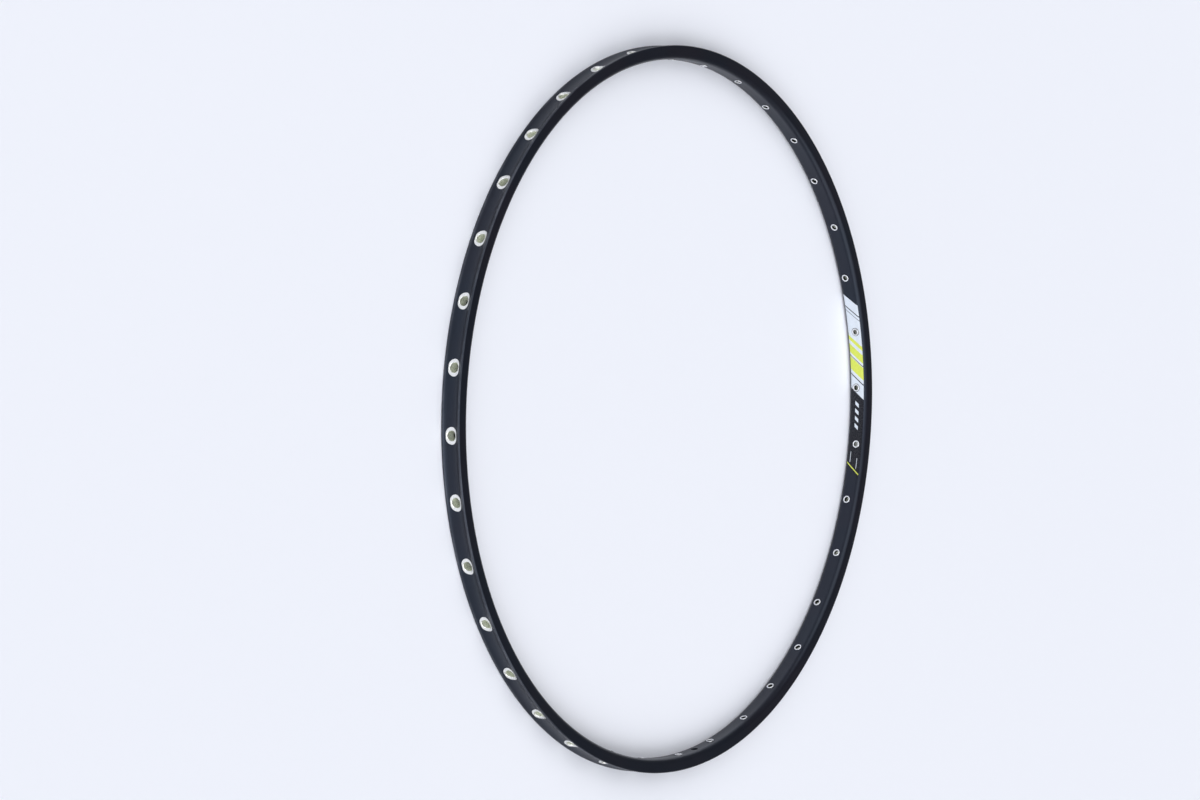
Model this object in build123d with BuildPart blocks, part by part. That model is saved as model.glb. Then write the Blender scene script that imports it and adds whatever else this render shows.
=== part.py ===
from build123d import *
import os
from math import atan2, cos, degrees, radians, sqrt, tan

# A 36-hole tubular bicycle rim: a rolled box-section hoop, its joint sleeve, double eyelets and a label.
# It lies on its side: +Z is the axle, the origin is the wheel's centre and the valve hole is on -Y.

# Hoop section, from the lips that hold the tyre to the face that looks at the hub
rim_diameter = 633.0
rim_width = 19.0
rim_height = 12.2
lip_bevel = 0.9
lip_land = 0.7
bed_depth = 2.6
bed_wall = 0.9
side_wall = 1.1
hub_wall = 1.2
hub_band_width = 9.0
chamber_roof_width = 13.0
chamber_roof_bevel = 2.0
chamber_floor_width = 11.5
chamber_floor_bevel = 2.8
seam_gap = 0.15

# Drilling: the spoke holes start on alternate sides at the hub face and lean in to the middle of the tyre bed
spoke_count = 36
hole_stagger = 1.15
valve_hole_diameter = 6.5

# Double eyelets: a ferrule through the hub wall, and a socket that carries it from the tyre bed
ferrule_bore = 4.4
ferrule_wall = 0.5
ferrule_flange_diameter = 7.0
ferrule_face_diameter = 6.0
ferrule_flange_height = 0.7
ferrule_tail = 1.2
socket_mouth_diameter = 8.2
socket_wall = 0.4
socket_neck_length = 2.2
socket_flange_length = 14.4
socket_flange_width = 10.6
socket_flange_thickness = 0.4
press_clearance = 0.05

# Sleeve inside the joint
sleeve_length = 36.0
sleeve_wall = 1.6

# Label on the hub face
label_middle_angle = -4.5
label_length = 175.0
label_width = 13.6
label_thickness = 0.1
label_glue_gap = 0.1
label_end_slant = 40.0
label_hole_clearance = 0.4

lip_r = rim_diameter / 2
half_width = rim_width / 2
hub_face_r = lip_r - rim_height
hub_inner_r = hub_face_r + hub_wall
hub_corner_r = (rim_width - hub_band_width) / 2
hub_corner_centre_r = hub_face_r + hub_corner_r
bed_r = lip_r - bed_depth
bed_edge_z = half_width - lip_bevel - lip_land
bed_arc_r = (bed_edge_z**2 + bed_depth**2) / (2 * bed_depth)
bed_centre_r = bed_r + bed_arc_r
chamber_roof_r = bed_r - bed_wall
chamber_z = half_width - side_wall

spoke_pitch = 360 / spoke_count
hole_lean = degrees(atan2(hole_stagger, bed_r - hub_face_r))
ferrule_flange_r = ferrule_flange_diameter / 2
ferrule_barrel_r = ferrule_bore / 2 + ferrule_wall
ferrule_hole_r = ferrule_barrel_r + press_clearance
socket_mouth_r = socket_mouth_diameter / 2
socket_neck_r = socket_mouth_r + socket_wall
socket_hole_r = socket_neck_r + press_clearance

# The first hole of each set of spoke holes, turned back to +X: Z runs along the hole, away from the hub
upper_hole = Location((hub_face_r, 0, hole_stagger), (0, 90 + hole_lean, 0))
lower_hole = Location((hub_face_r, 0, -hole_stagger), (0, 90 - hole_lean, 0))
spoke_sets = [(spoke_pitch / 2, upper_hole), (-spoke_pitch / 2, lower_hole)]
from_base = (Align.CENTER, Align.CENTER, Align.MIN)


def section_plane(angle):
    """The plane through the axle at this angle: X is the distance from the axle, Y is along it."""
    return Plane.XZ.rotated((0, 0, angle))


def spoke_holes(start_angle):
    """Turns a piece made on +X to each hole of the set that starts at this angle."""
    return PolarLocations(0, spoke_count // 2, start_angle=start_angle)


# Section of the hollow chamber between the tyre bed and the hub wall
with BuildSketch() as chamber:
    with BuildLine():
        Polyline(
            (chamber_roof_r, -chamber_roof_width / 2),
            (chamber_roof_r - chamber_roof_bevel, -chamber_z),
            (hub_inner_r + chamber_floor_bevel, -chamber_z),
            (hub_inner_r, -chamber_floor_width / 2),
            (hub_inner_r, chamber_floor_width / 2),
            (hub_inner_r + chamber_floor_bevel, chamber_z),
            (chamber_roof_r - chamber_roof_bevel, chamber_z),
            (chamber_roof_r, chamber_roof_width / 2),
            close=True,
        )
    make_face()

# Hoop: the section is revolved from one side of the seam, on +Y, round to the other, and then drilled
seam_angle = degrees(seam_gap / lip_r)
chamber_middle = (hub_inner_r + chamber_roof_r) / 2 - hub_face_r
with BuildPart() as rim_hoop:
    with BuildSketch(section_plane(90 + seam_angle / 2)) as hoop_section:
        with BuildLine():
            Polyline(
                (lip_r, -bed_edge_z),
                (lip_r, -half_width),
                (hub_face_r, -half_width),
                (hub_face_r, half_width),
                (lip_r, half_width),
                (lip_r, bed_edge_z),
            )
            ThreePointArc((lip_r, bed_edge_z), (bed_r, 0), (lip_r, -bed_edge_z))
        make_face()
        fillet(hoop_section.vertices().group_by(Axis.X)[0], radius=hub_corner_r)
        lip_corners = hoop_section.vertices().group_by(Axis.X)[-1].sort_by(Axis.Y)
        chamfer([lip_corners[0], lip_corners[-1]], length=lip_bevel)
        add(chamber.sketch_local, mode=Mode.SUBTRACT)
    revolve(axis=Axis.Z, revolution_arc=360 - seam_angle)
    for start_angle, hole in spoke_sets:
        with spoke_holes(start_angle):
            with Locations(hole):
                Cylinder(ferrule_hole_r, 4 * hub_wall, mode=Mode.SUBTRACT)
                with Locations((0, 0, chamber_middle)):
                    Cylinder(socket_hole_r, rim_height, align=from_base, mode=Mode.SUBTRACT)
    with Locations(Location((0, -hub_face_r, 0), (90, 0, 0))):
        Cylinder(valve_hole_diameter / 2, 4 * rim_height, mode=Mode.SUBTRACT)
rim_hoop.part.label = "rim_hoop"

# Sleeve: a tube of the chamber's section, pressed in to bridge the seam from inside
sleeve_angle = degrees(sleeve_length / hub_inner_r)
with BuildPart() as joint_sleeve:
    with BuildSketch(section_plane(90 - sleeve_angle / 2)):
        add(chamber.sketch_local)
        offset(chamber.sketch_local, -sleeve_wall, kind=Kind.INTERSECTION, mode=Mode.SUBTRACT)
    revolve(axis=Axis.Z, revolution_arc=sleeve_angle)
joint_sleeve.part.label = "joint_sleeve"

# Ferrule: its flat flange rests on the curved hub face, and its barrel leans through the wall with the hole
flange_seat_r = sqrt(hub_face_r**2 - ferrule_flange_r**2)
with BuildPart() as ferrule:
    with Locations(upper_hole):
        Cylinder(ferrule_barrel_r, hub_wall + ferrule_tail, align=from_base)
        Cylinder(ferrule_barrel_r, ferrule_flange_height)
    with Locations(Location((flange_seat_r, 0, hole_stagger), (0, -90, 0))):
        Cone(ferrule_flange_r, ferrule_face_diameter / 2, ferrule_flange_height, align=from_base)
    with Locations(upper_hole):
        Cylinder(ferrule_bore / 2, 2 * rim_height, mode=Mode.SUBTRACT)

# Eyelets: the ferrules of all the spoke holes
with BuildPart() as eyelets:
    with spoke_holes(spoke_pitch / 2):
        add(ferrule.part)
    with spoke_holes(-spoke_pitch / 2):
        add(mirror(ferrule.part, about=Plane.XY, mode=Mode.PRIVATE))
eyelets.part.label = "eyelets"

# Socket: a funnel that stands on the hub wall round the ferrule, with a neck and an oblong flange on the tyre bed
funnel_foot = hub_wall / 2
funnel_top = (bed_r - hub_face_r) / cos(radians(hole_lean)) - socket_neck_length
funnel_height = funnel_top - funnel_foot
with BuildPart() as socket:
    with BuildSketch(Plane.YZ.offset(hub_face_r)):
        SlotOverall(socket_flange_length, socket_flange_width)
    extrude(amount=2 * rim_height)
    with BuildSketch(section_plane(-spoke_pitch / 2)):
        with Locations((bed_centre_r, 0)):
            Circle(bed_arc_r)
    revolve(axis=Axis.Z, revolution_arc=spoke_pitch, mode=Mode.INTERSECT)
    with Locations(upper_hole):
        with Locations((0, 0, funnel_foot)):
            Cone(ferrule_hole_r + socket_wall, socket_neck_r, funnel_height, align=from_base)
        with Locations((0, 0, funnel_top)):
            Cylinder(socket_neck_r, rim_height, align=from_base)
    Cylinder(hub_inner_r, rim_width, mode=Mode.SUBTRACT)
    with BuildSketch(section_plane(-spoke_pitch / 2)):
        with Locations((bed_centre_r, 0)):
            Circle(bed_arc_r - socket_flange_thickness)
    revolve(axis=Axis.Z, revolution_arc=spoke_pitch, mode=Mode.SUBTRACT)
    with Locations(upper_hole):
        with Locations((0, 0, funnel_foot)):
            Cone(ferrule_hole_r, socket_mouth_r, funnel_height, align=from_base, mode=Mode.SUBTRACT)
        with Locations((0, 0, funnel_top)):
            Cylinder(socket_mouth_r, rim_height, align=from_base, mode=Mode.SUBTRACT)

# Eyelet sockets: one for each ferrule
with BuildPart() as eyelet_sockets:
    with spoke_holes(spoke_pitch / 2):
        add(socket.part)
    with spoke_holes(-spoke_pitch / 2):
        add(mirror(socket.part, about=Plane.XY, mode=Mode.PRIVATE))
eyelet_sockets.part.label = "eyelet_sockets"

# Label: a skin on the hub face that turns up on to both corners, with slanted ends, punched at each eyelet
label_angle = degrees((label_length - label_width * tan(radians(label_end_slant))) / hub_face_r)
label_blank_angle = degrees(label_length / hub_face_r)
label_back_r = hub_corner_r + label_glue_gap
label_end = Plane.XZ.rotated((label_end_slant, 0, 0))
with BuildPart() as label:
    with BuildSketch(section_plane(label_middle_angle - label_blank_angle / 2)):
        with Locations((hub_corner_centre_r, 0)):
            SlotCenterToCenter(hub_band_width, 2 * (label_back_r + label_thickness), rotation=90)
            SlotCenterToCenter(hub_band_width, 2 * label_back_r, rotation=90, mode=Mode.SUBTRACT)
        with Locations((hub_face_r, 0)):
            Rectangle(2 * hub_corner_r, label_width, mode=Mode.INTERSECT)
    revolve(axis=Axis.Z, revolution_arc=label_blank_angle)
    split(bisect_by=label_end.rotated((0, 0, label_middle_angle - label_angle / 2)), keep=Keep.BOTTOM)
    split(bisect_by=label_end.rotated((0, 0, label_middle_angle + label_angle / 2)), keep=Keep.TOP)
    for start_angle, hole in spoke_sets:
        with spoke_holes(start_angle):
            with Locations(hole):
                Cylinder(ferrule_flange_r + label_hole_clearance, 4 * hub_wall, mode=Mode.SUBTRACT)
label.part.label = "label"

os.makedirs("parts", exist_ok=True)
export_step(rim_hoop.part, "parts/rim_hoop.step")
export_step(joint_sleeve.part, "parts/joint_sleeve.step")
export_step(eyelets.part, "parts/eyelets.step")
export_step(eyelet_sockets.part, "parts/eyelet_sockets.step")
export_step(label.part, "parts/label.step")
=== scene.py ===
import math

import bmesh
import bpy
from mathutils import Matrix, Quaternion, Vector


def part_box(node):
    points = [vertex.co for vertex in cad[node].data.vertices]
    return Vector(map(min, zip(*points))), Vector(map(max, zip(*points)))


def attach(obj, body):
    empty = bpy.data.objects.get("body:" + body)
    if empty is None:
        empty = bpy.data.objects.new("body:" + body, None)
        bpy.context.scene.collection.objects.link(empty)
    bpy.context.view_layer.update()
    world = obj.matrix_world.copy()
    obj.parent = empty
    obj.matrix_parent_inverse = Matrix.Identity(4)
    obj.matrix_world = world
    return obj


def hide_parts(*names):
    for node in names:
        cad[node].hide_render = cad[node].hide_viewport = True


# A tubular bicycle rim that lies on a pale floor: its CAD nodes, dressed with finer meshes and finishes
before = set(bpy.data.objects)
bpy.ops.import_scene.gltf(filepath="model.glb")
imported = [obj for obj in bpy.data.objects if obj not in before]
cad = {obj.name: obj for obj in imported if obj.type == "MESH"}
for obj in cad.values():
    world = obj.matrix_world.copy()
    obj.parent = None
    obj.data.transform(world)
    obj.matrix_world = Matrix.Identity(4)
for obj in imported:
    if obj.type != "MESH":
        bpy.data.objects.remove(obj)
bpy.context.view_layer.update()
scene = bpy.context.scene

# Sizes of the rim, as its solids have them, in millimetres and degrees; an edge is a height from the middle
MM = 0.001
hoop_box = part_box("rim_hoop")
LIP_R = hoop_box[1][1] / MM
HALF_WIDTH = hoop_box[1][2] / MM
RIM_HEIGHT = 12.2
LIP_BEVEL = 0.9
LIP_LAND = 0.7
BED_DEPTH = 2.6
BED_WALL = 0.9
SIDE_WALL = 1.1
HUB_WALL = 1.2
HUB_EDGE = 4.5
ROOF_EDGE = 6.5
ROOF_BEVEL = 2.0
FLOOR_EDGE = 5.75
FLOOR_BEVEL = 2.8
SEAM_ANGLE = 90.0
SEAM_GAP = 0.15
SPOKE_COUNT = 36
STAGGER = 1.15
VALVE_ANGLE = 270.0
VALVE_HOLE_R = 3.25
FERRULE_BORE_R = 2.2
FERRULE_WALL = 0.5
FERRULE_FLANGE_R = 3.5
FERRULE_FLANGE_HEIGHT = 0.7
FERRULE_TAIL = 1.2
SOCKET_MOUTH_R = 4.1
SOCKET_WALL = 0.4
SOCKET_NECK = 2.2
SOCKET_FLANGE_R = 5.3
SOCKET_FLANGE_RUN = 1.9
PRESS_CLEARANCE = 0.05
LABEL_MIDDLE = -4.5
LABEL_SLANT = 40.0

HUB_FACE_R = LIP_R - RIM_HEIGHT
HUB_INNER_R = HUB_FACE_R + HUB_WALL
HUB_CORNER_R = HALF_WIDTH - HUB_EDGE
BED_R = LIP_R - BED_DEPTH
BED_EDGE = HALF_WIDTH - LIP_BEVEL - LIP_LAND
BED_ARC_R = (BED_EDGE**2 + BED_DEPTH**2) / (2 * BED_DEPTH)
ROOF_R = BED_R - BED_WALL
CHAMBER_EDGE = HALF_WIDTH - SIDE_WALL
SEAM_HALF = math.degrees(SEAM_GAP / 2 / LIP_R)
FERRULE_BARREL_R = FERRULE_BORE_R + FERRULE_WALL
FERRULE_HOLE_R = FERRULE_BARREL_R + PRESS_CLEARANCE
FERRULE_LENGTH = HUB_WALL + FERRULE_TAIL
SOCKET_NECK_R = SOCKET_MOUTH_R + SOCKET_WALL
SOCKET_HOLE_R = SOCKET_NECK_R + PRESS_CLEARANCE

# Each spoke hole: its angle, from the seam round to the seam, and the side that it starts on
PITCH = 360 / SPOKE_COUNT
SPOKE_HOLES = [(SEAM_ANGLE + PITCH * (i + 0.5), 1 if i % 2 else -1) for i in range(SPOKE_COUNT)]

# Round lips and rolled ferrules, which the solids have as bevels and cones
LIP_ROUND = 1.3
CROWN_TURN = 165.0
CROWN_FULLNESS = 0.55

# Soft edges of a socket, in wall thicknesses: in from its flange's edge or out from its bore, and how high
FLANGE_EDGE = ((0.0, 0.0), (0.0, 0.5), (0.2, 0.85), (0.6, 1.0))
MOUTH_EDGE = ((1.5, 1.0), (0.8, 0.85), (0.3, 0.4), (0.0, -0.5))

# Fineness of the meshes: numbers of faces, and the degrees that a drilled patch and a plain column span
PATCH_HALF = 1.4
PATCH_FACES = 8
PATCH_SHARES = (0.0, 0.15, 0.45, 1.0)
COLUMN_SPAN = 0.52
COLUMN_DIGITS = 9
CORNER_FACES = 12
LIP_FACES = 6
BED_EDGE_FACES = 3
CROWN_FACES = 12
EYELET_FACES = 40

# Edge of the bed's drilled band in millimetres, reach of the weld in metres, least sharp edge in degrees
BED_BAND = 6.6
WELD = 1e-6
SHARP_ANGLE = 42.0

# Colours, in linear light: a pair is the two ends of a mottle
NAVY = ((0.0034, 0.0043, 0.0080, 1.0), (0.0066, 0.0082, 0.0145, 1.0))
PLUM = ((0.0048, 0.0042, 0.0076, 1.0), (0.0090, 0.0080, 0.0135, 1.0))
# Paler colour for the tops of the lips: partly edge wear, partly a painted highlight along them
PALE_LIP_WEAR_AND_HIGHLIGHT = (0.11, 0.115, 0.13, 1.0)
BLUE_SHEEN = (0.66, 0.79, 1.0, 1.0)
STEEL = ((0.74, 0.75, 0.77, 1.0), (0.92, 0.93, 0.94, 1.0))
# Painted shade for the inside of a ferrule's bore, which is the same steel
PAINTED_BORE_SHADE = (0.045, 0.045, 0.05, 1.0)
NICKEL = ((0.84, 0.84, 0.80, 1.0), (0.94, 0.94, 0.92, 1.0))
BRASS = ((0.64, 0.67, 0.53, 1.0), (0.82, 0.85, 0.72, 1.0))
# Painted shade for the deep foot of a socket's funnel
PAINTED_FOOT_SHADE = (0.30, 0.31, 0.25, 1.0)
ALLOY = ((0.55, 0.56, 0.58, 1.0), (0.72, 0.73, 0.75, 1.0))
SILVER = ((0.58, 0.63, 0.69, 1.0), (0.71, 0.76, 0.82, 1.0))
YELLOW = ((0.58, 0.645, 0.075, 1.0), (0.69, 0.755, 0.13, 1.0))
PRINT_BLACK = ((0.0055, 0.006, 0.010, 1.0), (0.011, 0.012, 0.018, 1.0))
PALE_PAPER = ((0.895, 0.915, 0.980, 1.0), (0.910, 0.928, 0.990, 1.0))
DAYLIGHT = (0.93, 0.95, 1.0, 1.0)

# Most of a noise lies between these
NOISE_LOW = 0.3
NOISE_HIGH = 0.7

# Layout of the label, in millimetres from its middle: along it, where lines slant as its ends do, or across
YELLOW_BARS = ((38.0, 42.0), (26.0, 34.0), (10.0, 22.0))
DARK_LINES = ((70.0, 71.2), (66.5, 67.1), (22.6, 23.4), (5.0, 6.2))
DARK_FIELD_EDGE = (-8.2, -7.8)
FIRST_BLOCK = (-20.0, -16.5)
BLOCK_PITCH = 7.0
BLOCK_COUNT = 4
BLOCK_HEIGHTS = (-1.9, 1.9)
RULE_RUN = (-76.0, -66.0)
RULE_HEIGHTS = ((3.4, 3.9), (-3.9, -3.4))
END_BAR = (-79.4, -78.2)
PRINT_BLUR = 0.12

# Light: two glows in the sky, each from the cosine where it starts to the one where it is full, and two suns
WINDOW = {"axis": (-0.93, 0.0, 0.36), "start": 0.1, "full": 0.95, "dim": 0.16, "bright": 0.60}
PANE = {"axis": (-0.83, -0.12, 0.55), "start": 0.92, "full": 0.99, "dim": 0.0, "bright": 3.3}
LAMPS = {"upper_lamp": (0.25, -0.66, -0.71), "lower_lamp": (0.25, 0.66, -0.71)}
LAMP_STRENGTH = 1.15
LAMP_SPREAD = 60.0

# Floor and camera, in metres and degrees, with the lens and its sensor in millimetres
FLOOR_HALF = 9.0
CAMERA_AIM = (-0.1086, 0.0251, 0.0)
CAMERA_DISTANCE = 3.024
CAMERA_AZIMUTH = 169.91
CAMERA_ELEVATION = 35.68
CAMERA_ROLL = 92.32
CAMERA_REACH = 60.0
LENS = 107.02
SENSOR = 36.0


def steps_between(start, end, count):
    """Even steps from start to end, both included."""
    return [start + (end - start) * i / count for i in range(count + 1)]


def arc(centre_r, centre_z, radius, start, end, steps):
    """Points (r, z) of a round corner of a section, with the angle counted from straight out."""
    turns = [math.radians(angle) for angle in steps_between(start, end, steps)]
    return [(centre_r + radius * math.cos(t), centre_z + radius * math.sin(t)) for t in turns]


def bed_radius(z, above=0.0):
    """Distance from the axle of the round tyre bed at height z, or of a face that lies above it."""
    return BED_R + BED_ARC_R - math.sqrt((BED_ARC_R - above) ** 2 - z**2)


def hole_centre(side, r):
    """Height of a spoke hole's middle at the distance r: the hole leans in to the middle of the bed."""
    return side * STAGGER * (BED_R - r) / (BED_R - HUB_FACE_R)


def ring_point(r, angle, z):
    """A point at this distance from the axle, angle round it and height along it."""
    turn = math.radians(angle)
    return (r * math.cos(turn) * MM, r * math.sin(turn) * MM, z * MM)


def hole_point(angle, out, aside, z):
    """A point out along the line that leaves the axle at this angle, aside from it and at height z."""
    turn = math.radians(angle)
    x = out * math.cos(turn) - aside * math.sin(turn)
    y = out * math.sin(turn) + aside * math.cos(turn)
    return (x * MM, y * MM, z * MM)


def hole_ring(angle, middle, out, width, turns):
    """A ring of points round a spoke hole, out along its line, where the hole's middle is at this height."""
    return [hole_point(angle, out, width * math.cos(t), middle + width * math.sin(t)) for t in turns]


class Surface:
    """A mesh made of rows of points, which is welded where its rows meet."""

    def __init__(self):
        self.points = []
        self.faces = []

    def strip(self, rows, closed=False):
        """Joins rows with as many points each to one another, and each row's end to its start if closed."""
        first = len(self.points)
        count = len(rows[0])
        for row in rows:
            self.points.extend(row)
        for i in range(len(rows) - 1):
            for j in range(count if closed else count - 1):
                a = first + i * count + j
                b = first + i * count + (j + 1) % count
                self.faces.append((a, b, b + count, a + count))

    def replace(self, name, node, slot, material):
        """Welds the mesh, caps what the seam leaves open and puts it in the place of a CAD node."""
        mesh = bpy.data.meshes.new(name)
        mesh.from_pydata(self.points, [], self.faces)
        work = bmesh.new()
        work.from_mesh(mesh)
        bmesh.ops.remove_doubles(work, verts=work.verts, dist=WELD)
        open_edges = [edge for edge in work.edges if edge.is_boundary]
        for side in (-1, 1):
            loops = [edge for edge in open_edges if edge.verts[0].co.x * side > 0]
            if loops:
                bmesh.ops.triangle_fill(work, use_beauty=True, edges=loops)
        bmesh.ops.recalc_face_normals(work, faces=work.faces)
        work.to_mesh(mesh)
        work.free()
        mesh.polygons.foreach_set("use_smooth", [True] * len(mesh.polygons))
        mesh.set_sharp_from_angle(angle=math.radians(SHARP_ANGLE))
        mesh.materials.append(material)
        piece = bpy.data.objects.new(name, mesh)
        scene.collection.objects.link(piece)
        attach(piece, "root")
        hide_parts(node)


def hoop_surface():
    """The hollow hoop: four drilled walls, two flanks outside and two inside, and a wall round each hole."""
    hoop = Surface()
    holes = sorted([(angle, side, False) for angle, side in SPOKE_HOLES] + [(VALVE_ANGLE, 0, True)])
    ends = [SEAM_ANGLE + SEAM_HALF]
    for hole in holes:
        ends += [hole[0] - PATCH_HALF, hole[0] + PATCH_HALF]
    ends.append(SEAM_ANGLE + 360 - SEAM_HALF)
    plain = [steps_between(a, b, math.ceil((b - a) / COLUMN_SPAN)) for a, b in zip(ends[0::2], ends[1::2])]
    patches = [steps_between(a, b, PATCH_FACES) for a, b in zip(ends[1:-1:2], ends[2:-1:2])]
    columns = sorted(set(round(a, COLUMN_DIGITS) for run in plain + patches for a in run))

    walls = [
        (lambda z: HUB_FACE_R, HUB_EDGE, FERRULE_HOLE_R),
        (lambda z: HUB_INNER_R, FLOOR_EDGE, FERRULE_HOLE_R),
        (lambda z: ROOF_R, ROOF_EDGE, SOCKET_HOLE_R),
        (bed_radius, BED_BAND, SOCKET_HOLE_R),
    ]
    for radius, edge, _ in walls:
        rows = steps_between(-edge, edge, PATCH_FACES)
        for run in plain:
            hoop.strip([[ring_point(radius(z), a, z) for a in run] for z in rows])

    def drilled_patch(wall, angle, side, valve):
        """The faces from a hole out, in rings, to the columns and rows round it; gives the hole's edge."""
        radius, edge, hole_r = wall
        hole_r = VALVE_HOLE_R if valve else hole_r
        degree = math.radians(radius(0))
        middle = hole_centre(side, radius(0))
        along = [degree * a for a in steps_between(-PATCH_HALF, PATCH_HALF, PATCH_FACES)]
        up = steps_between(-edge, edge, PATCH_FACES)
        outline = [(t, -edge) for t in along[:-1]] + [(along[-1], z) for z in up[:-1]]
        outline += [(-t, edge) for t in along[:-1]] + [(along[0], -z) for z in up[:-1]]
        rings = []
        for share in PATCH_SHARES:
            ring = []
            for t, z in outline:
                reach = share + (1 - share) * hole_r / math.hypot(t, z - middle)
                high = middle + (z - middle) * reach
                ring.append(ring_point(radius(high), angle + t * reach / degree, high))
            rings.append(ring)
        hoop.strip(rings, closed=True)
        return rings[0]

    for hole in holes:
        edges = [drilled_patch(wall, *hole) for wall in walls]
        hoop.strip(edges[0:2], closed=True)
        hoop.strip(edges[2:4], closed=True)

    flank = arc(HUB_FACE_R + HUB_CORNER_R, HUB_EDGE, HUB_CORNER_R, 180.0, 90.0, CORNER_FACES)
    flank += arc(LIP_R - LIP_ROUND, HALF_WIDTH - LIP_ROUND, LIP_ROUND, 90.0, 0.0, LIP_FACES)
    flank += [(bed_radius(z), z) for z in steps_between(BED_EDGE, BED_BAND, BED_EDGE_FACES)]
    inside = [
        (HUB_INNER_R, FLOOR_EDGE),
        (HUB_INNER_R + FLOOR_BEVEL, CHAMBER_EDGE),
        (ROOF_R - ROOF_BEVEL, CHAMBER_EDGE),
        (ROOF_R, ROOF_EDGE),
    ]
    for side in (-1, 1):
        for section in (flank, inside):
            hoop.strip([[ring_point(r, a, side * z) for a in columns] for r, z in section])
    return hoop


def ferrule_surface():
    """A ferrule at each spoke hole: a rolled flange on the hub face, and a barrel that follows the hole."""
    group = Surface()
    seat_r = math.sqrt(HUB_FACE_R**2 - FERRULE_FLANGE_R**2)
    roll = (FERRULE_FLANGE_R - FERRULE_BORE_R) / 2
    section = []
    for turn in steps_between(0.0, math.radians(CROWN_TURN), CROWN_FACES):
        width = FERRULE_BORE_R + roll + roll * math.cos(turn)
        section.append((width, FERRULE_FLANGE_HEIGHT * math.sin(turn) ** CROWN_FULLNESS))
    section += [
        (FERRULE_BORE_R, 0.0),
        (FERRULE_BORE_R, -FERRULE_LENGTH),
        (FERRULE_BARREL_R, -FERRULE_LENGTH),
        (FERRULE_BARREL_R, 0.0),
        section[0],
    ]
    turns = steps_between(0.0, 2 * math.pi, EYELET_FACES)[:-1]
    for angle, side in SPOKE_HOLES:
        rows = []
        for width, height in section:
            middle = hole_centre(side, HUB_FACE_R - min(height, 0.0))
            rows.append(hole_ring(angle, middle, seat_r - height, width, turns))
        group.strip(rows, closed=True)
    return group


def socket_surface():
    """A socket at each spoke hole: an oblong flange on the bed, a soft mouth, a neck and a funnel."""
    group = Surface()
    neck_foot = BED_R - SOCKET_NECK
    turns = [2 * math.pi * (i + 0.5) / EYELET_FACES for i in range(EYELET_FACES)]
    flange = []
    for inset, height in FLANGE_EDGE:
        flange.append((SOCKET_FLANGE_R - inset * SOCKET_WALL, SOCKET_FLANGE_RUN, height * SOCKET_WALL))
    for flare, height in MOUTH_EDGE:
        flange.append((SOCKET_MOUTH_R + flare * SOCKET_WALL, 0.0, height * SOCKET_WALL))
    funnel = [
        (SOCKET_MOUTH_R, neck_foot),
        (FERRULE_HOLE_R, HUB_INNER_R),
        (FERRULE_HOLE_R + SOCKET_WALL, HUB_INNER_R),
        (SOCKET_NECK_R, neck_foot),
    ]
    under = [(SOCKET_NECK_R, 0.0, 0.0), flange[0]]

    def on_bed(angle, width, run, above):
        """A round row of points above the bed, or an oblong one whose halves are a run off its middle."""
        row = []
        for t in turns:
            aside = width * math.cos(t) + math.copysign(run, math.cos(t))
            z = width * math.sin(t)
            row.append(hole_point(angle, math.sqrt(bed_radius(z, above) ** 2 - aside**2), aside, z))
        return row

    for angle, side in SPOKE_HOLES:
        rows = [on_bed(angle, *point) for point in flange]
        rows += [hole_ring(angle, hole_centre(side, out), out, width, turns) for width, out in funnel]
        rows += [on_bed(angle, *point) for point in under]
        group.strip(rows, closed=True)
    return group


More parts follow.
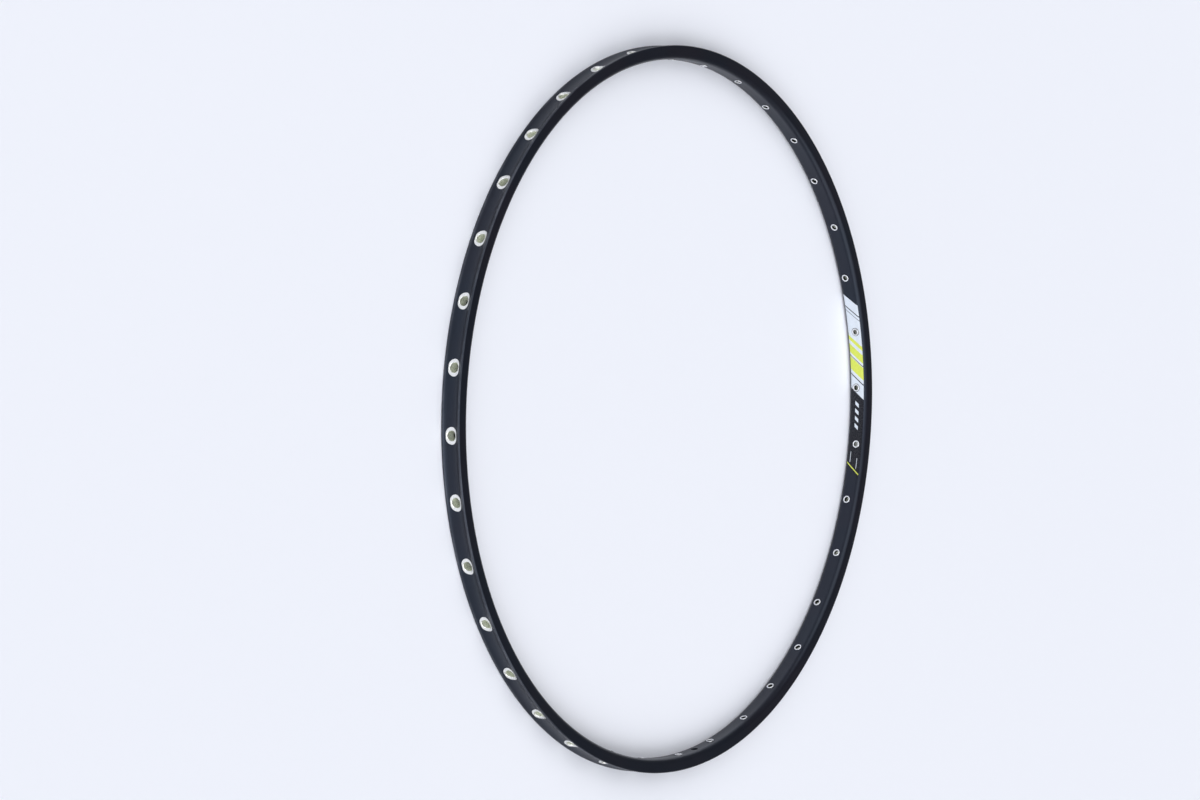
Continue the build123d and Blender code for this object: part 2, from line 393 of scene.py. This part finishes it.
class Tree:
    """A material's node tree, with short calls that add and join its nodes.

    where is a point's own place, in metres. r, angle and z are its distance from the axle, its angle round
    the axle, in radians, and its height along it.
    """

    def __init__(self, name):
        self.material = bpy.data.materials.new(name)
        self.material.use_nodes = True
        self.nodes = self.material.node_tree.nodes
        self.links = self.material.node_tree.links
        self.shader = self.nodes["Principled BSDF"]
        self.where = self.nodes.new("ShaderNodeTexCoord").outputs["Object"]
        split = self.nodes.new("ShaderNodeSeparateXYZ")
        self.links.new(self.where, split.inputs[0])
        x, y, self.z = split.outputs
        squares = self.math("ADD", self.math("MULTIPLY", x, x), self.math("MULTIPLY", y, y))
        self.r = self.math("SQRT", squares)
        self.angle = self.math("ARCTAN2", y, x)

    def join(self, value, socket):
        """Links another node's output to a socket, or sets a constant on it."""
        if isinstance(value, bpy.types.NodeSocket):
            self.links.new(value, socket)
        else:
            socket.default_value = value

    def math(self, operation, a, b=0.0):
        node = self.nodes.new("ShaderNodeMath")
        node.operation = operation
        self.join(a, node.inputs[0])
        self.join(b, node.inputs[1])
        return node.outputs[0]

    def ramp(self, value, low, high, to_low=0.0, to_high=1.0):
        """value from low to high becomes to_low to to_high, with soft ends."""
        node = self.nodes.new("ShaderNodeMapRange")
        node.interpolation_type = "SMOOTHSTEP"
        self.join(value, node.inputs["Value"])
        node.inputs["From Min"].default_value = low
        node.inputs["From Max"].default_value = high
        node.inputs["To Min"].default_value = to_low
        node.inputs["To Max"].default_value = to_high
        return node.outputs["Result"]

    def spread(self, noise, to_low, to_high):
        """Most of a noise becomes to_low to to_high."""
        return self.ramp(noise, NOISE_LOW, NOISE_HIGH, to_low, to_high)

    def mix(self, factor, a, b):
        """Colour a where the factor is 0, and b where it is 1."""
        node = self.nodes.new("ShaderNodeMix")
        node.data_type = "RGBA"
        self.join(factor, node.inputs["Factor"])
        self.join(a, node.inputs["A"])
        self.join(b, node.inputs["B"])
        return node.outputs["Result"]

    def noise(self, vector, scale, detail=3.0, rough=0.5):
        node = self.nodes.new("ShaderNodeTexNoise")
        self.join(vector, node.inputs["Vector"])
        node.inputs["Scale"].default_value = scale
        node.inputs["Detail"].default_value = detail
        node.inputs["Roughness"].default_value = rough
        return node.outputs["Fac"]

    def drawn(self, fineness, length):
        """Fine lines along the hoop, as rolling and drawing leave them."""
        node = self.nodes.new("ShaderNodeCombineXYZ")
        self.join(self.math("MULTIPLY", self.r, fineness), node.inputs[0])
        self.join(self.math("MULTIPLY", self.z, fineness), node.inputs[1])
        self.join(self.math("MULTIPLY", self.angle, length), node.inputs[2])
        return self.noise(node.outputs[0], scale=1.0, detail=4.0, rough=0.6)

    def bump(self, height, strength, distance):
        node = self.nodes.new("ShaderNodeBump")
        node.inputs["Strength"].default_value = strength
        node.inputs["Distance"].default_value = distance
        self.links.new(height, node.inputs["Height"])
        self.links.new(node.outputs["Normal"], self.shader.inputs["Normal"])

    def set(self, name, value):
        self.join(value, self.shader.inputs[name])


def hard_anodised():
    """Satin black oxide over a rolled section: lines along the hoop, a faint mottle, and paler lips that are
    partly edge wear and partly a painted highlight.
    """
    t = Tree("hard_anodised_black")
    pale_lip_start = LIP_R - 0.95
    pale_lip_full = LIP_R - 0.05
    mottle_roughness = 0.08
    line_share = 0.7
    drawn = t.drawn(fineness=1800.0, length=9.0)
    mottle = t.noise(t.where, scale=38.0, detail=4.0, rough=0.6)
    fine = t.noise(t.where, scale=900.0, detail=2.0)
    tint = t.noise(t.where, scale=9.0, rough=0.6)
    tone = t.mix(t.ramp(tint, low=0.40, high=0.62), t.mix(mottle, *NAVY), t.mix(mottle, *PLUM))
    patchy = t.ramp(mottle, low=0.35, high=0.75, to_low=0.15, to_high=0.6)
    # Patchy paler tops of the lips: part edge wear, part painted highlight
    lip_wear_and_highlight = t.math("MULTIPLY", t.ramp(t.r, pale_lip_start * MM, pale_lip_full * MM), patchy)
    t.set("Base Color", t.mix(lip_wear_and_highlight, tone, PALE_LIP_WEAR_AND_HIGHLIGHT))
    satin = t.spread(drawn, to_low=0.29, to_high=0.36)
    t.set("Roughness", t.math("ADD", satin, t.math("MULTIPLY", mottle, mottle_roughness)))
    t.set("IOR", 1.47)
    t.set("Specular Tint", BLUE_SHEEN)
    lines = t.math("MULTIPLY", drawn, line_share)
    grain = t.math("MULTIPLY", fine, 1 - line_share)
    t.bump(t.math("ADD", lines, grain), strength=0.12, distance=0.04 * MM)
    return t.material


def stainless():
    """Bright pressed steel, grained and duller here and there, with painted shade inside the bore."""
    t = Tree("stainless_ferrule")
    bore_shade_start = HUB_FACE_R - 0.45
    bore_shade_full = HUB_FACE_R - 0.05
    fine = t.noise(t.where, scale=1400.0, rough=0.6)
    broad = t.noise(t.where, scale=120.0, detail=2.0)
    # Painted shade: the steel turns dark down inside the bore
    bore_shade = t.ramp(t.r, bore_shade_start * MM, bore_shade_full * MM)
    t.set("Base Color", t.mix(bore_shade, t.mix(broad, *STEEL), PAINTED_BORE_SHADE))
    t.set("Metallic", 1.0)
    t.set("Roughness", t.spread(fine, to_low=0.20, to_high=0.34))
    t.bump(fine, strength=0.08, distance=0.03 * MM)
    return t.material


def plated_brass():
    """Nickel, bright on the flange, that gives way to greenish brass down the neck, with painted shade
    darkening the foot of the funnel.
    """
    t = Tree("plated_brass_socket")
    foot_shade_start = HUB_INNER_R + 0.6
    foot_shade_end = HUB_INNER_R + 3.4
    nickel_start = BED_R - 1.2
    nickel_full = BED_R + 0.9
    unevenness = 1.2
    fine = t.noise(t.where, scale=1100.0, rough=0.6)
    cloud = t.noise(t.where, scale=160.0, rough=0.6)
    level = t.math("ADD", t.r, t.math("MULTIPLY", cloud, unevenness * MM))
    plated = t.ramp(level, nickel_start * MM, nickel_full * MM)
    metal = t.mix(plated, t.mix(cloud, *BRASS), t.mix(cloud, *NICKEL))
    # Painted shade: the metal darkens towards the foot of the funnel, deep in the hoop
    t.set("Base Color", t.mix(t.ramp(level, foot_shade_start * MM, foot_shade_end * MM), PAINTED_FOOT_SHADE, metal))
    t.set("Metallic", t.ramp(plated, low=0.0, high=1.0, to_low=0.5, to_high=1.0))
    t.set("Roughness", t.spread(fine, to_low=0.24, to_high=0.40))
    t.bump(fine, strength=0.10, distance=0.03 * MM)
    return t.material


def bare_alloy():
    """Sawn extrusion, bright with lines along its length."""
    t = Tree("bare_alloy_sleeve")
    drawn = t.drawn(fineness=2500.0, length=20.0)
    t.set("Base Color", t.mix(drawn, *ALLOY))
    t.set("Metallic", 1.0)
    t.set("Roughness", t.spread(drawn, to_low=0.30, to_high=0.45))
    t.bump(drawn, strength=0.15, distance=0.04 * MM)
    return t.material


def label_film():
    """Printed film: a silver field with slanted bars, and a dark field with plain shapes, thinly coated."""
    t = Tree("printed_label_film")
    along = t.math("MULTIPLY", t.math("SUBTRACT", t.angle, math.radians(LABEL_MIDDLE)), HUB_FACE_R)
    across = t.math("DIVIDE", t.z, MM)
    slanted = t.math("ADD", along, t.math("MULTIPLY", across, math.tan(math.radians(LABEL_SLANT))))

    def between(value, low, high):
        """1 from low to high and 0 elsewhere, with a printed edge's blur."""
        up = t.ramp(value, low - PRINT_BLUR, low + PRINT_BLUR)
        down = t.ramp(value, high - PRINT_BLUR, high + PRINT_BLUR, to_low=1.0, to_high=0.0)
        return t.math("MULTIPLY", up, down)

    grain = t.noise(t.where, scale=700.0, rough=0.6)
    broad = t.noise(t.where, scale=45.0)
    silver = t.mix(broad, *SILVER)
    yellow = t.mix(broad, *YELLOW)
    dark = t.mix(broad, *PRINT_BLACK)
    colour = silver
    for bar in YELLOW_BARS:
        colour = t.mix(between(slanted, *bar), colour, yellow)
    for line in DARK_LINES:
        colour = t.mix(between(slanted, *line), colour, dark)
    colour = t.mix(t.ramp(slanted, *DARK_FIELD_EDGE, to_low=1.0, to_high=0.0), colour, dark)
    for i in range(BLOCK_COUNT):
        run = [end - i * BLOCK_PITCH for end in FIRST_BLOCK]
        block = t.math("MULTIPLY", between(slanted, *run), between(across, *BLOCK_HEIGHTS))
        colour = t.mix(block, colour, silver)
    for heights in RULE_HEIGHTS:
        rule = t.math("MULTIPLY", between(slanted, *RULE_RUN), between(across, *heights))
        colour = t.mix(rule, colour, silver)
    t.set("Base Color", t.mix(between(slanted, *END_BAR), colour, yellow))
    t.set("Roughness", t.spread(grain, to_low=0.22, to_high=0.32))
    t.set("IOR", 1.35)
    t.set("Coat Weight", 0.05)
    t.set("Coat Roughness", 0.12)
    t.bump(grain, strength=0.06, distance=0.03 * MM)
    return t.material


def floor_paper():
    """Pale matt paper, hardly clouded."""
    t = Tree("pale_floor")
    cloud = t.noise(t.where, scale=1.3, detail=2.0)
    t.set("Base Color", t.mix(cloud, *PALE_PAPER))
    t.set("Roughness", 0.75)
    t.set("Specular IOR Level", 0.15)
    return t.material


def floor_sheet():
    """A square of paper that the rim lies on, large enough to fill the picture."""
    low = -HALF_WIDTH * MM
    corners = [(FLOOR_HALF * x, FLOOR_HALF * y, low) for x, y in ((-1, -1), (1, -1), (1, 1), (-1, 1))]
    mesh = bpy.data.meshes.new("floor")
    mesh.from_pydata(corners, [], [(0, 1, 2, 3)])
    mesh.materials.append(floor_paper())
    floor = bpy.data.objects.new("floor", mesh)
    scene.collection.objects.link(floor)


def studio_sky():
    """A wide window behind the camera with a brighter pane high in it, and a dim sky on the far side."""
    world = bpy.data.worlds.new("studio")
    world.use_nodes = True
    scene.world = world
    nodes = world.node_tree.nodes
    links = world.node_tree.links
    direction = nodes.new("ShaderNodeTexCoord").outputs["Generated"]

    def glow(axis, start, full, dim, bright):
        """Strength of the sky round an axis: dim up to the cosine start, bright from the cosine full on."""
        facing = nodes.new("ShaderNodeVectorMath")
        facing.operation = "DOT_PRODUCT"
        links.new(direction, facing.inputs[0])
        facing.inputs[1].default_value = axis
        level = nodes.new("ShaderNodeMapRange")
        level.interpolation_type = "SMOOTHSTEP"
        links.new(facing.outputs["Value"], level.inputs["Value"])
        level.inputs["From Min"].default_value = start
        level.inputs["From Max"].default_value = full
        level.inputs["To Min"].default_value = dim
        level.inputs["To Max"].default_value = bright
        return level.outputs["Result"]

    strength = nodes.new("ShaderNodeMath")
    strength.operation = "ADD"
    links.new(glow(**WINDOW), strength.inputs[0])
    links.new(glow(**PANE), strength.inputs[1])
    background = nodes["Background"]
    background.inputs["Color"].default_value = DAYLIGHT
    links.new(strength.outputs[0], background.inputs["Strength"])


def soft_lamp(name, towards):
    """A broad sun that shines in this direction."""
    sun = bpy.data.lights.new(name, "SUN")
    sun.energy = LAMP_STRENGTH
    sun.angle = math.radians(LAMP_SPREAD)
    lamp = bpy.data.objects.new(name, sun)
    lamp.rotation_euler = Vector(towards).to_track_quat("-Z", "Y").to_euler()
    scene.collection.objects.link(lamp)


def photo_camera():
    """A camera at the photo's viewing angle, rolled because the rim stands there and lies here."""
    azimuth = math.radians(CAMERA_AZIMUTH)
    elevation = math.radians(CAMERA_ELEVATION)
    level = math.cos(elevation)
    back = Vector((level * math.cos(azimuth), level * math.sin(azimuth), math.sin(elevation)))
    place = Matrix.Translation(Vector(CAMERA_AIM) + CAMERA_DISTANCE * back)
    roll = Quaternion((0.0, 0.0, 1.0), math.radians(CAMERA_ROLL))
    turn = (-back).to_track_quat("-Z", "Y") @ roll
    lens = bpy.data.cameras.new("camera")
    lens.sensor_fit = "HORIZONTAL"
    lens.sensor_width = SENSOR
    lens.lens = LENS
    lens.clip_end = CAMERA_REACH
    camera = bpy.data.objects.new("camera", lens)
    camera.matrix_world = place @ turn.to_matrix().to_4x4()
    scene.collection.objects.link(camera)
    scene.camera = camera


# The rim: three pieces take the place of plain CAD nodes, and two CAD nodes get a better material
hoop_surface().replace("hoop_skin", "rim_hoop", "hard_anodised", hard_anodised())
ferrule_surface().replace("pressed_ferrules", "eyelets", "stainless", stainless())
socket_surface().replace("pressed_sockets", "eyelet_sockets", "plated_brass", plated_brass())
for node, material in (("joint_sleeve", bare_alloy()), ("label", label_film())):
    for slot in cad[node].material_slots:
        slot.material = material

# The setting
floor_sheet()
studio_sky()
for name, towards in LAMPS.items():
    soft_lamp(name, towards)
photo_camera()
scene.view_settings.view_transform = "Standard"
